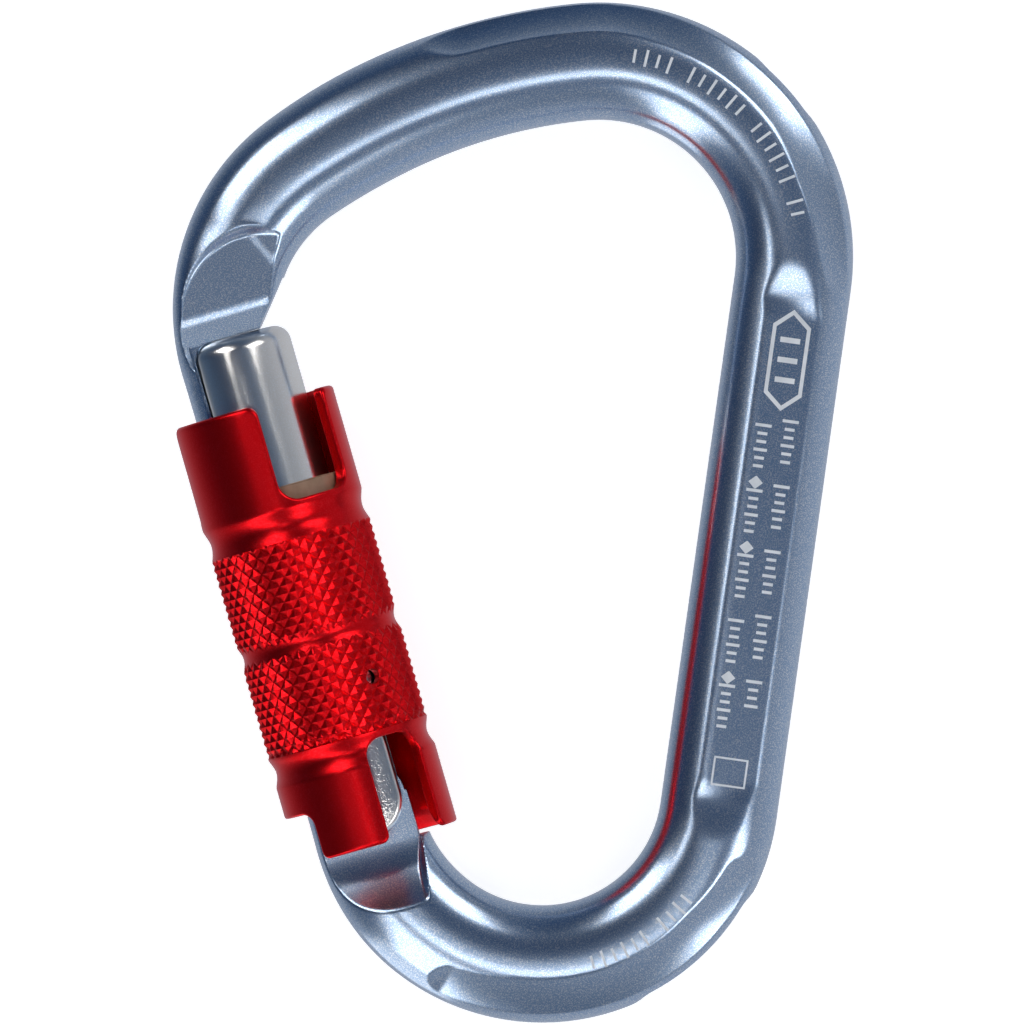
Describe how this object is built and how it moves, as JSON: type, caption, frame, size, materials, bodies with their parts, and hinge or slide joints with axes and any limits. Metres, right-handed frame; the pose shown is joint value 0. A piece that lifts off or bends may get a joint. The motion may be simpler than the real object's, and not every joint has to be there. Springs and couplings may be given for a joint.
{
  "type": "locking carabiner",
  "caption": "Pear-shaped twist-lock carabiner with a forged aluminium body, a sprung gate and a knurled red locking sleeve.",
  "frame": {"origin": "centre of the carabiner's overall box, in the mid-plane of its forged body", "axes": "+Y along the spine towards the wide end, +X towards the spine, +Z out of the front face; the gate is on the -X side"},
  "size_m": [0.0737, 0.1124, 0.0182],
  "materials": {
    "anodised_steel_blue": "fine bead-blasted and tumbled, pale steel-blue anodised",
    "satin_aluminium": "satin bead-blasted, silver anodised",
    "anodised_red": "satin, deep red anodised",
    "polished_steel": "turned stainless steel",
    "spring_steel": "drawn stainless spring wire",
    "brass": "turned brass",
    "black_polymer": "moulded acetal",
    "tan_polymer": "moulded acetal, tan"
  },
  "bodies": {
    "frame": {"body_frame": "anodised_steel_blue"},
    "gate": {"gate": "satin_aluminium", "hinge_rivet": "polished_steel", "guide_pin": "polished_steel", "thrust_ring": "tan_polymer", "gate_spring": "spring_steel"},
    "plunger": {"spring_plunger": "brass"},
    "spring_seat": {"spring_washer": "polished_steel", "return_spring": "spring_steel"},
    "sleeve": {"locking_sleeve": "anodised_red", "guide_bush": "black_polymer"}
  },
  "joints": [
    {"name": "gate_swing", "type": "hinge", "parent": "frame", "child": "gate", "pos_m": [-0.0083, -0.0345, 0], "axis": [0, 0, -1], "range_deg": [0, 20], "stiffness_Nm_per_rad": 0.12, "springref_deg": -20.05},
    {"name": "plunger_slide", "type": "slide", "parent": "gate", "child": "plunger", "axis": [-0.4067, 0.9135, 0], "range_m": [0, 0.0006], "deforming": ["gate_spring"]},
    {"name": "sleeve_lift", "type": "slide", "parent": "gate", "child": "spring_seat", "axis": [-0.4067, 0.9135, 0], "range_m": [0, 0.003], "stiffness_N_per_m": 600, "springref_m": -0.008, "deforming": ["return_spring"]},
    {"name": "sleeve_turn", "type": "hinge", "parent": "spring_seat", "child": "sleeve", "pos_m": [-0.0083, -0.0345, 0], "axis": [-0.4067, 0.9135, 0], "range_deg": [0, 58]}
  ],
  "couplings": [
    {"joint": "sleeve_turn", "follows": "gate_swing", "ratio": 2.9},
    {"joint": "plunger_slide", "follows": "gate_swing", "m_per_rad": 0.0016}
  ]
}
